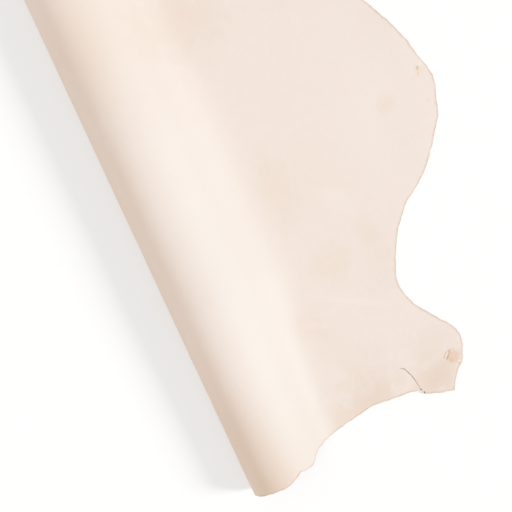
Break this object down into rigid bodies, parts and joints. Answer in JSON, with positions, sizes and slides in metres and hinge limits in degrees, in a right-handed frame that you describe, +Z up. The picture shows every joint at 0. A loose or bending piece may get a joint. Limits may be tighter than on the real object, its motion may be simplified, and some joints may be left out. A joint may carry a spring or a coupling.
{
  "type": "leather side",
  "caption": "Vegetable-tanned leather side lying grain up, its back folded under in a round open fold, with belly, flank and shank outline and a flaying cut.",
  "frame": {"origin": "on the floor, under the middle of the part's box", "axes": "+Y along the fold from the butt end to the neck, +X across from the fold to the belly, +Z up from the floor, grain side up"},
  "size_m": [0.7584, 2.1642, 0.1245],
  "materials": {
    "leather": "natural vegetable-tanned grain, satin"
  },
  "bodies": {
    "root": {"leather_side": "leather"}
  },
  "joints": []
}
